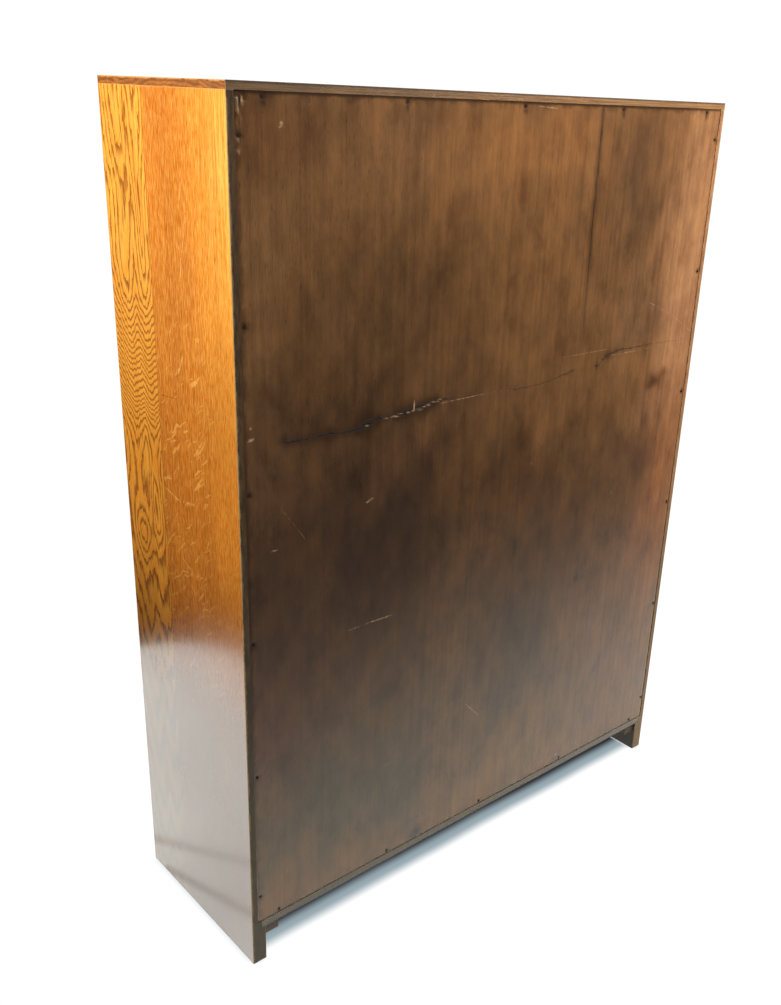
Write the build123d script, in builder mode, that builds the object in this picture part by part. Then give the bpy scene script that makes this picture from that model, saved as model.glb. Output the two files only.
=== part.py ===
from build123d import *
import os

# A one-piece barrister bookcase in oak, in millimetres. +Z is up, the doors face -Y, and +X is the
# right side seen from the front. The origin is on the floor under the middle of the whole piece,
# with the door knobs counted in.

os.makedirs("parts", exist_ok=True)

# Case
height = 1219.0
width = 921.0
depth = 305.0             # of the case alone, without the knobs
board = 22.2              # thickness of the sides, the top and the bottom
shelf_board = 19.0
lip = 9.5                 # wood left outside the rebates along the back and the top
ply = 6.35                # back panel
foot = 60.3               # floor to the underside of the bottom board
bottom_reveal = 12.7      # rear edge of the bottom board that shows under the back panel
housing = 6.35            # depth of the housings that hold the shelves in the sides
housing_stop = 20.0       # solid wood in front of a housing
shelf_count = 3
soft_edge = 0.8           # radius of the handled edges
panel_play = 0.3          # gap around the back panel

# Strips and blocks under and inside the case
strip_thickness = 12.0    # head strip in front of the top edge of each door
strip_height = 9.0
toe_thickness = 19.0
toe_clearance = 10.0      # floor to the lower edge of the toe rail
cleat_width = 25.4
cleat_height = 19.0
cleat_setback = 5.0       # from the back of the case to the end of a cleat
block_size = 24.0
block_spread = 300.0      # between the two middle blocks behind the toe rail

# Doors
door_thickness = 20.0
side_gap = 2.0
foot_gap = 2.0
head_gap = 3.5
strip_gap = 0.5
stile = 45.0
top_rail = 38.0
bottom_rail = 45.0
pivot_drop = 17.0         # top edge of a door to its pivot axis
glass_rebate = 8.0        # width of the rebate round the pane, and the frame left in front of it
glass = 3.0
pane_play = 0.5
bead_recess = 1.0         # glazing beads stop this far inside the back of the frame
tenon_length = 28.0
tenon_thickness = 7.0
tenon_shoulder = 9.0
mortise_play = 0.5        # past the end of a tenon

# Knobs, pins and fasteners
knob_length = 24.0
knob_radius = 11.0
knob_crown = 7.4          # half the thickness of the knob's rounded grip
knob_base = 8.0
knob_plate = 1.6          # thickness of its foot
knob_neck = 4.4
knob_rise = 22.0          # from the bottom edge of the door
knob_spread = 560.0
screw_radius = 2.0
screw_head_radius = 4.2
screw_slot = 0.9
screw_in_knob = 12.0
pin_radius = 3.2
pin_clearance = 0.05      # of a pivot pin in its door stile
groove_clearance = 0.3    # of a pivot pin in its groove
groove_depth = 8.0
pin_end_play = 0.5
pin_in_stile = 11.5
recede = 184.0            # travel of a raised door into the case
support_behind = 17.0     # support pin behind the pivot axis of a closed door
support_reach = 9.0       # support pin out of the side
support_in_side = 12.0
notch_play = 0.8          # above and below a support pin
nail_radius = 0.9
nail_head_radius = 2.1
nail_head = 0.8
nail_length = 22.0
nail_sink = 0.3
nail_inset = 5.5          # from the edge of the back panel to the centre of a nail
nail_rows = 6
nail_columns = 5
nail_row_pitch = 209.0
nail_column_pitch = 207.0

# Places that follow from the sizes
knob_reach = knob_length - strip_thickness - strip_gap
back_y = (depth + knob_reach) / 2
front_y = back_y - depth
panel_y = back_y - ply
outer_x = width / 2
inner_x = outer_x - board
side_top_z = height - lip
top_z = height - board
bottom_z = foot + board
panel_low_z = foot + bottom_reveal
tier = (top_z - bottom_z - shelf_count * shelf_board) / (shelf_count + 1)
floors = [bottom_z + number * (tier + shelf_board) for number in range(shelf_count + 1)]

door_front_y = front_y + strip_thickness + strip_gap
door_back_y = door_front_y + door_thickness
pivot_y = door_front_y + door_thickness / 2
support_y = pivot_y + support_behind
door_x = inner_x - side_gap
opening_x = door_x - stile
pivot_heights = [floor_z + tier - head_gap - pivot_drop for floor_z in floors]
support_drop = door_thickness / 2 + groove_clearance + pin_radius


def block(x, y, z, mode=Mode.ADD):
    """A square-edged block between two values on each axis, in the part being built."""
    with Locations(((x[0] + x[1]) / 2, (y[0] + y[1]) / 2, (z[0] + z[1]) / 2)):
        Box(x[1] - x[0], y[1] - y[0], z[1] - z[0], mode=mode)


def rod(x, y, z, radius, mode=Mode.ADD):
    """A round rod along X between two values, in the part being built."""
    with Locations(Location(((x[0] + x[1]) / 2, y, z), (0, 90, 0))):
        Cylinder(radius, x[1] - x[0], mode=mode)


def along(part, axis, x=None, y=None, z=None):
    """The straight edges of a part along an axis whose middle is at the given values."""
    def near(edge):
        middle = edge.center()
        wanted = ((x, middle.X), (y, middle.Y), (z, middle.Z))
        return all(value is None or abs(value - found) < 0.01 for value, found in wanted)
    return part.edges().filter_by(axis).filter_by(near)


def save(part, name):
    part.label = name
    export_step(part, f"parts/{name}.step")


def mirrored(part):
    """The same part on the other side of the bookcase."""
    with BuildPart() as twin:
        mirror(part, about=Plane.YZ)
    return twin.part


def make_side():
    """The right side: a board down to the floor, rebated for the back panel, housed for the shelves."""
    with BuildPart() as side:
        block((inner_x, outer_x), (front_y, back_y), (0, side_top_z))
        fillet(along(side.part, Axis.Z, x=outer_x), soft_edge)
        block((inner_x, outer_x - lip), (panel_y, back_y), (panel_low_z, side_top_z), Mode.SUBTRACT)
        block((inner_x, inner_x + housing), (front_y + housing_stop, back_y), (foot, bottom_z),
              Mode.SUBTRACT)
        for floor_z in floors[1:]:
            block((inner_x, inner_x + housing), (front_y + housing_stop, panel_y),
                  (floor_z - shelf_board, floor_z), Mode.SUBTRACT)
        # One stopped groove for each door, where its pivot pin stands and slides back
        with BuildSketch(Plane.YZ.offset(inner_x)):
            with Locations([(pivot_y + recede / 2, pivot_z) for pivot_z in pivot_heights]):
                SlotCenterToCenter(recede, 2 * (pin_radius + groove_clearance))
        extrude(amount=groove_depth, mode=Mode.SUBTRACT)
        for pivot_z in pivot_heights:
            rod((inner_x, inner_x + support_in_side), support_y, pivot_z - support_drop, pin_radius,
                Mode.SUBTRACT)
    return side.part


def make_top():
    """The top: rebated from below at both ends and along the back, so that only its lip shows."""
    with BuildPart() as top:
        block((-outer_x, outer_x), (front_y, back_y), (top_z, height))
        fillet(top.edges().filter_by(Axis.Z), soft_edge)
        fillet(top.faces().sort_by(Axis.Z)[-1].edges(), soft_edge)
        for ends in ((-outer_x, -inner_x), (inner_x, outer_x)):
            block(ends, (front_y, back_y), (top_z, side_top_z), Mode.SUBTRACT)
        block((-inner_x, inner_x), (panel_y, back_y), (top_z, side_top_z), Mode.SUBTRACT)
    return top.part


def make_bottom():
    """The bottom board: housed in the sides, rebated along its top rear edge for the back panel."""
    with BuildPart() as bottom:
        block((-inner_x, inner_x), (front_y, back_y), (foot, bottom_z))
        fillet(along(bottom.part, Axis.X, y=front_y), soft_edge)
        block((-inner_x - housing, inner_x + housing), (front_y + housing_stop, back_y), (foot, bottom_z))
        block((-outer_x, outer_x), (panel_y, back_y), (panel_low_z, bottom_z), Mode.SUBTRACT)
    return bottom.part


def make_shelf(floor_z):
    """A fixed shelf between two tiers, housed in the sides behind its front edge."""
    with BuildPart() as shelf:
        block((-inner_x, inner_x), (front_y, panel_y), (floor_z - shelf_board, floor_z))
        fillet(along(shelf.part, Axis.X, y=front_y), soft_edge)
        block((-inner_x - housing, inner_x + housing), (front_y + housing_stop, panel_y),
              (floor_z - shelf_board, floor_z))
    return shelf.part


def make_head_strip(ceiling_z):
    """The strip that the top edge of a closed door shuts against."""
    with BuildPart() as strip:
        block((-inner_x, inner_x), (front_y, front_y + strip_thickness), (ceiling_z - strip_height, ceiling_z))
        fillet(along(strip.part, Axis.X, y=front_y, z=ceiling_z - strip_height), soft_edge)
    return strip.part


def make_back_panel():
    """The plywood back, let in flush between the lips of the sides, the top and the bottom."""
    half_width = outer_x - lip - panel_play
    with BuildPart() as panel:
        block((-half_width, half_width), (panel_y, back_y), (panel_low_z, side_top_z - panel_play))
    return panel.part


def make_toe_rail():
    """The board under the front of the case, set between the sides."""
    with BuildPart() as rail:
        block((-inner_x, inner_x), (front_y, front_y + toe_thickness), (toe_clearance, foot))
        fillet(along(rail.part, Axis.X, y=front_y, z=toe_clearance), soft_edge)
    return rail.part


def make_toe_blocks():
    """Glue blocks behind the toe rail: one in each corner under a cleat, and two along the middle."""
    back = front_y + toe_thickness
    with BuildPart() as blocks:
        for inner, outer in ((inner_x - block_size, inner_x), (-inner_x, -inner_x + block_size)):
            block((inner, outer), (back, back + block_size), (toe_clearance, foot - cleat_height))
        for x in (-block_spread / 2, block_spread / 2):
            block((x - 2 * block_size, x + 2 * block_size), (back, back + block_size), (foot - block_size, foot))
        chamfer(blocks.edges().filter_by(Axis.Z).group_by(Axis.Y)[-1], block_size / 4)
    return blocks.part


cleat_low_z = foot - cleat_height
cleat_ends = (front_y + toe_thickness, back_y - cleat_setback)
cleat_screw_places = [cleat_ends[0] + share * (cleat_ends[1] - cleat_ends[0]) for share in (0.2, 0.5, 0.8)]


def make_cleat():
    """The square strip that ties the right side to the bottom board, drilled for its screws."""
    with BuildPart() as cleat:
        block((inner_x - cleat_width, inner_x), cleat_ends, (cleat_low_z, foot))
        fillet(along(cleat.part, Axis.Y, x=inner_x - cleat_width, z=cleat_low_z), soft_edge)
        with Locations(Plane((inner_x - cleat_width / 2, 0, cleat_low_z), x_dir=(1, 0, 0), z_dir=(0, 0, -1))):
            with Locations([(0, -y) for y in cleat_screw_places]):
                CounterSinkHole(screw_radius, screw_head_radius, cleat_height)
    return cleat.part


def make_screw(length):
    """A slotted countersunk screw pointing up +Z, with the flat of its head at the origin."""
    taper = screw_head_radius - screw_radius
    with BuildPart() as screw:
        with BuildSketch(Plane.XZ) as profile:
            with BuildLine():
                Polyline((0, 0), (screw_head_radius, 0), (screw_radius, taper), (screw_radius, length - taper),
                         (0, length), (0, 0))
            make_face()
        revolve(axis=Axis.Z)
        block((-screw_head_radius, screw_head_radius), (-screw_slot / 2, screw_slot / 2), (0, screw_slot),
              Mode.SUBTRACT)
    return screw.part


def make_cleat_screws():
    """The screws up through both cleats, flush with the underside of the bottom board."""
    screw = make_screw(cleat_height)
    with BuildPart() as screws:
        for x in (inner_x - cleat_width / 2, cleat_width / 2 - inner_x):
            with Locations([(x, y, cleat_low_z) for y in cleat_screw_places]):
                add(screw)
    return screws.part


def make_nails():
    """The wire nails round the back panel, driven through it with their heads just under its face."""
    half_width = outer_x - lip - panel_play
    row_z = [(panel_low_z + side_top_z) / 2 + (row - (nail_rows - 1) / 2) * nail_row_pitch
             for row in range(nail_rows)]
    column_x = [(column - (nail_columns - 1) / 2) * nail_column_pitch for column in range(nail_columns)]
    places = [(side * (half_width - nail_inset), z) for side in (-1, 1) for z in row_z]
    places += [(x, z) for x in column_x for z in (panel_low_z + nail_inset, side_top_z - nail_inset)]
    with BuildPart() as nails:
        for x, z in places:
            with Locations(Location((x, back_y - nail_sink, z), (90, 0, 0))):
                Cylinder(nail_head_radius, nail_head, align=(Align.CENTER, Align.CENTER, Align.MIN))
                Cylinder(nail_radius, nail_length, align=(Align.CENTER, Align.CENTER, Align.MIN))
    return nails.part


def make_support_pins():
    """The steel pins in both sides that carry a raised door, two to a tier."""
    with BuildPart() as pins:
        for pivot_z in pivot_heights:
            for sign in (-1, 1):
                ends = sorted((sign * (inner_x - support_reach), sign * (inner_x + support_in_side)))
                rod(ends, support_y, pivot_z - support_drop, pin_radius)
        chamfer(pins.edges().filter_by(GeomType.CIRCLE), pin_radius / 8)
    return pins.part


def door_levels(pivot_z):
    """The bottom and top of a door, and of its pane."""
    low = pivot_z + pivot_drop + head_gap - tier + foot_gap
    high = pivot_z + pivot_drop
    return low, high, low + bottom_rail - glass_rebate, high - top_rail + glass_rebate


def tenon_levels(low, high):
    """The heights of the tenons at the ends of the bottom rail and of the top rail."""
    return ((low + tenon_shoulder, low + bottom_rail - tenon_shoulder),
            (high - top_rail + tenon_shoulder, high - tenon_shoulder))


tenon_y = (pivot_y - tenon_thickness / 2, pivot_y + tenon_thickness / 2)
rebate_y = (door_front_y + glass_rebate, door_back_y)


def make_stile(pivot_z):
    """The right stile: mortised for both rails, bored for the pivot pin, notched to pass the support pin."""
    low, high, pane_low, pane_high = door_levels(pivot_z)
    with BuildPart() as piece:
        block((opening_x, door_x), (door_front_y, door_back_y), (low, high))
        fillet(along(piece.part, Axis.Z, y=door_front_y), soft_edge)
        block((opening_x, opening_x + glass_rebate), rebate_y, (pane_low, pane_high), Mode.SUBTRACT)
        for levels in tenon_levels(low, high):
            block((opening_x, opening_x + tenon_length + mortise_play), tenon_y, levels, Mode.SUBTRACT)
        rod((door_x - pin_in_stile - pin_end_play, door_x), pivot_y, pivot_z, pin_radius + pin_clearance,
            Mode.SUBTRACT)
        notch = pin_radius + notch_play
        block((door_x - support_reach + side_gap - pin_end_play, door_x), (door_front_y, door_back_y),
              (pivot_z - support_drop - notch, pivot_z - support_drop + notch), Mode.SUBTRACT)
    return piece.part


def make_rail(pivot_z, is_top):
    """A door rail with a stub tenon at each end, rebated along the pane."""
    low, high, pane_low, pane_high = door_levels(pivot_z)
    levels = (high - top_rail, high) if is_top else (low, low + bottom_rail)
    rebate_levels = (levels[0], pane_high) if is_top else (pane_low, levels[1])
    with BuildPart() as piece:
        block((-opening_x, opening_x), (door_front_y, door_back_y), levels)
        fillet(along(piece.part, Axis.X, y=door_front_y), soft_edge)
        block((-opening_x, opening_x), rebate_y, rebate_levels, Mode.SUBTRACT)
        block((-opening_x - tenon_length, opening_x + tenon_length), tenon_y, tenon_levels(low, high)[is_top])
        if not is_top:
            with Locations(Plane((0, door_back_y, low + knob_rise), x_dir=(1, 0, 0), z_dir=(0, 1, 0))):
                with Locations((-knob_spread / 2, 0), (knob_spread / 2, 0)):
                    CounterSinkHole(screw_radius, screw_head_radius, door_thickness)
    return piece.part


def make_glass(pivot_z):
    low, high, pane_low, pane_high = door_levels(pivot_z)
    half_width = opening_x + glass_rebate - pane_play
    with BuildPart() as pane:
        block((-half_width, half_width), (rebate_y[0], rebate_y[0] + glass),
              (pane_low + pane_play, pane_high - pane_play))
    return pane.part


def make_beads(pivot_z):
    """The four strips behind the pane that hold it in its rebate."""
    low, high, pane_low, pane_high = door_levels(pivot_z)
    outer = opening_x + glass_rebate
    y = (rebate_y[0] + glass, door_back_y - bead_recess)
    with BuildPart() as beads:
        for z in ((pane_low, pane_low + glass_rebate), (pane_high - glass_rebate, pane_high)):
            block((-outer, outer), y, z)
        for x in ((-outer, -opening_x), (opening_x, outer)):
            block(x, y, (pane_low + glass_rebate + panel_play, pane_high - glass_rebate - panel_play))
    return beads.part


def make_knobs(pivot_z):
    """Two turned brass knobs, each drilled from behind for its screw."""
    low = door_levels(pivot_z)[0]
    with BuildPart() as knob:
        with BuildSketch(Plane.XY):
            with BuildLine():
                ball = EllipticalCenterArc((0, knob_crown - knob_length), knob_radius, knob_crown,
                                           start_angle=-90, arc_size=140)
                ThreePointArc(ball @ 1, (knob_neck, -knob_length / 4), (knob_base, -knob_plate))
                Polyline((knob_base, -knob_plate), (knob_base, 0), (0, 0), (0, -knob_length))
            make_face()
        revolve(axis=Axis.Y)
        with Locations(Location((0, -screw_in_knob / 2, 0), (90, 0, 0))):
            Cylinder(screw_radius, screw_in_knob, mode=Mode.SUBTRACT)
    with BuildPart() as knobs:
        with Locations([(x, door_front_y, low + knob_rise) for x in (-knob_spread / 2, knob_spread / 2)]):
            add(knob.part)
    return knobs.part


def make_knob_screws(pivot_z):
    """The screws through the bottom rail into the knobs, their heads flush with its inner face."""
    low = door_levels(pivot_z)[0]
    screw = make_screw(door_thickness + screw_in_knob)
    with BuildPart() as screws:
        for x in (-knob_spread / 2, knob_spread / 2):
            with Locations(Location((x, door_back_y, low + knob_rise), (90, 0, 0))):
                add(screw)
    return screws.part


def make_pivot_pins(pivot_z):
    """The two pins that a door turns on, standing in the grooves of the sides."""
    with BuildPart() as pins:
        for sign in (-1, 1):
            ends = sorted((sign * (door_x - pin_in_stile), sign * (inner_x + groove_depth - pin_end_play)))
            rod(ends, pivot_y, pivot_z, pin_radius)
        chamfer(pins.edges().filter_by(GeomType.CIRCLE), pin_radius / 8)
    return pins.part


right_side = make_side()
save(right_side, "side_panel_right")
save(mirrored(right_side), "side_panel_left")
save(make_top(), "top_board")
save(make_bottom(), "bottom_board")
for number, floor_z in enumerate(floors[1:], start=1):
    save(make_shelf(floor_z), f"shelf_{number}")
for number, floor_z in enumerate(floors, start=1):
    save(make_head_strip(floor_z + tier), f"head_strip_{number}")
save(make_back_panel(), "back_panel")
save(make_nails(), "back_panel_nails")
save(make_toe_rail(), "toe_rail")
save(make_toe_blocks(), "toe_rail_blocks")
right_cleat = make_cleat()
save(right_cleat, "cleat_right")
save(mirrored(right_cleat), "cleat_left")
save(make_cleat_screws(), "cleat_screws")
save(make_support_pins(), "door_support_pins")

for number, pivot_z in enumerate(pivot_heights, start=1):
    door = f"door_{number}"
    right_stile = make_stile(pivot_z)
    save(right_stile, f"{door}_stile_right")
    save(mirrored(right_stile), f"{door}_stile_left")
    save(make_rail(pivot_z, True), f"{door}_top_rail")
    save(make_rail(pivot_z, False), f"{door}_bottom_rail")
    save(make_glass(pivot_z), f"{door}_glass")
    save(make_beads(pivot_z), f"{door}_glazing_beads")
    save(make_knobs(pivot_z), f"{door}_knobs")
    save(make_knob_screws(pivot_z), f"{door}_knob_screws")
    save(make_pivot_pins(pivot_z), f"{door}_pivot_pins")

print("depth of the case from", front_y, "to", back_y, "and each tier", round(tier, 1), "high")
print("pivot axes at y", pivot_y, "and z", [round(z, 3) for z in pivot_heights])
print("floors at z", [round(z, 3) for z in floors], "support pins at y", support_y)
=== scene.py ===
import math

import bpy
import numpy as np
from mathutils import Matrix, Vector


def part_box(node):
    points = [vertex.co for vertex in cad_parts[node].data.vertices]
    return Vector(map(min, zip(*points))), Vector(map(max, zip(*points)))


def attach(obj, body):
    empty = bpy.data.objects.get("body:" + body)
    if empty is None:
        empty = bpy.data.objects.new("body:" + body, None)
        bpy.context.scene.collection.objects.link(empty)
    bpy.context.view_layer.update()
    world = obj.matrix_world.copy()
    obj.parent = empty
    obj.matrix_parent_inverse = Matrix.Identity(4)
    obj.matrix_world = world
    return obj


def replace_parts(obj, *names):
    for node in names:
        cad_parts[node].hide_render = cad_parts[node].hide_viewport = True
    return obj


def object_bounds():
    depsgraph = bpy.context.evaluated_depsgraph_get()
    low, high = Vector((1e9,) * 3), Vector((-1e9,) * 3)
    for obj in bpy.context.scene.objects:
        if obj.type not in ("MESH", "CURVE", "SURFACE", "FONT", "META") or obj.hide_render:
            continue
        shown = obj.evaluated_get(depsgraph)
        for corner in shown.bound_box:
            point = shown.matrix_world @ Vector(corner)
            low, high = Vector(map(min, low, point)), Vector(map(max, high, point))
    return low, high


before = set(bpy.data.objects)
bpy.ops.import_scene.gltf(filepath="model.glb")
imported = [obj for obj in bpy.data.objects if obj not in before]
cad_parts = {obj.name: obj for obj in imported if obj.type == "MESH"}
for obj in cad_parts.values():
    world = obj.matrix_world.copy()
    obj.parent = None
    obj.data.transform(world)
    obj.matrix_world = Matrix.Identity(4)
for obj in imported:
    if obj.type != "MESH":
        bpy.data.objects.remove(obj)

# An oak barrister bookcase with four lift-up glass doors, set with its nailed plywood back to the viewer.
cadLow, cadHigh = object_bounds()
caseSide, caseRear, caseTop = (float(v) for v in cadHigh)      # its greatest x, y and z
print("frame loaded:", len(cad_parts), "nodes")

scene = bpy.context.scene
scene.view_settings.view_transform = "Standard"

cameraView = {
    "place": (1.0907, 1.2000, 1.2131),
    "azimuth": -132.561,   # where the lens looks, in degrees from +X
    "elevation": -22.225,
    "roll": 2.498,
    "lens": 37.476,
    "sensor": 36.0,
    "shift": (-0.0435, 0.0198),
}


def addCamera(view):
    azimuth, elevation, roll = (math.radians(view[k]) for k in ("azimuth", "elevation", "roll"))
    ahead = Vector((math.cos(elevation) * math.cos(azimuth), math.cos(elevation) * math.sin(azimuth),
                    math.sin(elevation)))
    level = ahead.cross(Vector((0, 0, 1))).normalized()
    upright = level.cross(ahead)
    right = math.cos(roll) * level + math.sin(roll) * upright
    up = math.cos(roll) * upright - math.sin(roll) * level
    camera = bpy.data.objects.new("camera", bpy.data.cameras.new("camera"))
    scene.collection.objects.link(camera)
    turn = Matrix((right, up, -ahead)).transposed().to_4x4()
    camera.matrix_world = Matrix.Translation(Vector(view["place"])) @ turn
    camera.data.sensor_width = view["sensor"]
    camera.data.lens = view["lens"]
    camera.data.shift_x, camera.data.shift_y = view["shift"]
    scene.camera = camera


addCamera(cameraView)
print("camera placed")


# Small helpers for laying out nodes.
origin = (0.0, 0.0, 0.0)


class Wire:
    # a node's output; a sum, difference, product or quotient of wires adds the Math node for it
    def __init__(self, socket):
        self.socket = socket
        self.tree = socket.id_data

    def __add__(self, other):
        return calc("ADD", self, other)

    def __radd__(self, other):
        return calc("ADD", other, self)

    def __sub__(self, other):
        return calc("SUBTRACT", self, other)

    def __rsub__(self, other):
        return calc("SUBTRACT", other, self)

    def __mul__(self, other):
        return calc("MULTIPLY", self, other)

    def __truediv__(self, other):
        return calc("DIVIDE", self, other)


def shade(code):
    # a hex colour as linear light
    channels = [int(code[i:i + 2], 16) / 255 for i in (0, 2, 4)]
    return tuple(c / 12.92 if c <= 0.04045 else ((c + 0.055) / 1.055) ** 2.4 for c in channels) + (1.0,)


def fill(sockets, values):
    # a wire is joined to its socket, and anything else becomes the socket's own value
    for key, value in values.items():
        key = key.replace("_", " ") if isinstance(key, str) else key
        if isinstance(value, Wire):
            value.tree.links.new(value.socket, sockets[key])
        else:
            sockets[key].default_value = value


def addNode(tree, kind, sockets=None, **settings):
    node = tree.nodes.new("ShaderNode" + kind)
    for name, value in settings.items():
        setattr(node, name, value)
    fill(node.inputs, sockets or {})
    return node


def outputs(node):
    return {socket.name: Wire(socket) for socket in node.outputs}


def work(kind, sockets, output=0, **settings):
    # adds a node to the tree that its first wire comes from
    tree = next(value.tree for value in sockets.values() if isinstance(value, Wire))
    return Wire(addNode(tree, kind, sockets, **settings).outputs[output])


def calc(operation, *values, clamp=False):
    return work("Math", dict(enumerate(values)), operation=operation, use_clamp=clamp)


def mixColour(factor, first, second, mode="MIX"):
    return work("Mix", {0: factor, 6: first, 7: second}, 2, data_type="RGBA", blend_type=mode)


def layOver(under, code, share, strength=None):
    # a hex colour laid over what is there, as thick as share, or share times strength
    if strength is not None:
        share = share * strength
    return mixColour(share, under, shade(code))


def ease(value, start, end, low=0.0, high=1.0):
    # a soft step from low to high as value goes from start to end
    sockets = {"Value": value, "From Min": start, "From Max": end, "To Min": low, "To Max": high}
    return work("MapRange", sockets, "Result", interpolation_type="SMOOTHSTEP")


def cloud(vector, scale=1.0, detail=3.0, roughness=0.5):
    sockets = {"Vector": vector, "Scale": scale, "Detail": detail, "Roughness": roughness}
    return work("TexNoise", sockets, "Fac")


def sized(vector, size, turn=origin, shift=origin):
    # coordinates in units of size, after turning and shifting
    sockets = {"Vector": vector, "Location": shift, "Rotation": turn, "Scale": size}
    return work("Mapping", sockets, vector_type="TEXTURE")


def stretched(vector, size, detail=3.0, roughness=0.5):
    # a cloud whose lumps have the given size in x, y and z
    return cloud(sized(vector, size), 1.0, detail, roughness)


def splitXyz(vector):
    return [Wire(socket) for socket in addNode(vector.tree, "SeparateXYZ", {0: vector}).outputs]


def joinXyz(x, y, z):
    return work("CombineXYZ", {0: x, 1: y, 2: z})


def startGroup(name, inputs, results):
    # a new node group: its tree, its inputs as wires by name, and the sockets that take its results
    tree = bpy.data.node_groups.new(name, "ShaderNodeTree")
    for side, sockets in (("INPUT", inputs), ("OUTPUT", dict.fromkeys(results, 0.0))):
        for label, value in sockets.items():
            kind = "Float" if isinstance(value, float) else "Vector"
            socket = tree.interface.new_socket(label, in_out=side, socket_type="NodeSocket" + kind)
            socket.default_value = value
    given = outputs(tree.nodes.new("NodeGroupInput"))
    return tree, given, tree.nodes.new("NodeGroupOutput").inputs


def placeGroup(group, **sockets):
    # the outputs of a group put into the tree that Vector comes from
    node = sockets["Vector"].tree.nodes.new("ShaderNodeGroup")
    node.node_tree = group
    fill(node.inputs, sockets)
    return outputs(node)


def startMaterial(name):
    material = bpy.data.materials.new(name)
    material.use_nodes = True
    tree = material.node_tree
    tree.nodes.clear()
    return material, tree, outputs(addNode(tree, "TexCoord"))["Object"]


def finishMaterial(tree, height, depth, strength, **sockets):
    # the shader itself: height is the relief in units of depth
    shader = addNode(tree, "BsdfPrincipled")
    fill(shader.inputs, sockets)
    relief = work("Bump", {"Height": height, "Distance": depth, "Strength": strength})
    fill(shader.inputs, {"Normal": relief})
    addNode(tree, "OutputMaterial", {"Surface": Wire(shader.outputs[0])})
    return shader


def giveFinish(nodeName, material):
    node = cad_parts[nodeName]
    if not node.material_slots:
        node.data.materials.append(material)
    for slot in node.material_slots:
        slot.material = material


# The studio: a white sheet on the floor that ends front right, a white surround and soft lamps.
studio = {
    "sheetLow": (-3.2, -0.835),
    "sheetHigh": (0.945, 2.3),
    "sheetCorner": 0.24,             # radius of its front right corner
    "sheetTone": "9aa0a2",
    "sheetPale": "a9adae",
    "sheetMirrored": 1.86,           # how bright the sheet is in a varnished face
    "mirrorTint": (0.955, 1.0, 0.965, 1.0),
    "washed": (1.06, 1.06, 1.06, 1.0),    # the sheet's white, seen straight on
    "contactShade": "ccd6da",
    "underShade": "97a8b0",
    "deepShade": "2b2a2e",
    "contactReach": 0.03,            # how far out the trace of shade goes
    # bands of painted shade in the sheet's reflection, where it would crease: two ends and a half width
    "creaseShade": (
        ((0.455, -0.235, 0.0), (0.590, -0.010, 0.0), 0.017),
        ((0.462, -0.110, 0.0), (0.520, 0.090, 0.0), 0.014),
    ),
    "backdrop": 1.05,
    "surround": 0.22,
    "surroundTone": "f6f8fb",
    "mirroredTone": "efe6dc",
    "surroundMirrored": 0.02,
    "ceilingMirrored": 0.5,
    "lamps": (
        # name, place, aim, size, watts, tone
        ("side_lamp", (1.45, -0.10, 1.80), (0.46, 0.02, 0.9), 0.5, 33.0, "fff0dc"),
        ("rear_lamp", (-0.95, 1.00, 2.00), (-0.2, 0.15, 1.1), 0.6, 25.0, "fff2e6"),
        ("front_lamp", (-1.0, -3.0, 2.4), (0.0, -0.1, 0.7), 1.8, 80.0, "fff6ee"),
    ),
}


def lineGap(vector, start, end):
    # distance to the straight line from start to end, and the share of it passed at the nearest place
    def onVectors(operation, *values, result="Vector"):
        node = addNode(vector.tree, "VectorMath", dict(enumerate(values)), operation=operation)
        return outputs(node)[result]

    along = onVectors("SUBTRACT", end, start)
    away = onVectors("SUBTRACT", vector, start)
    length = onVectors("DOT_PRODUCT", along, along, result="Value")
    share = calc("DIVIDE", onVectors("DOT_PRODUCT", away, along, result="Value"), length, clamp=True)
    nearest = work("VectorMath", {0: along, "Scale": share}, operation="SCALE")
    gap = onVectors("LENGTH", onVectors("SUBTRACT", away, nearest), result="Value")
    return gap, share


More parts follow.
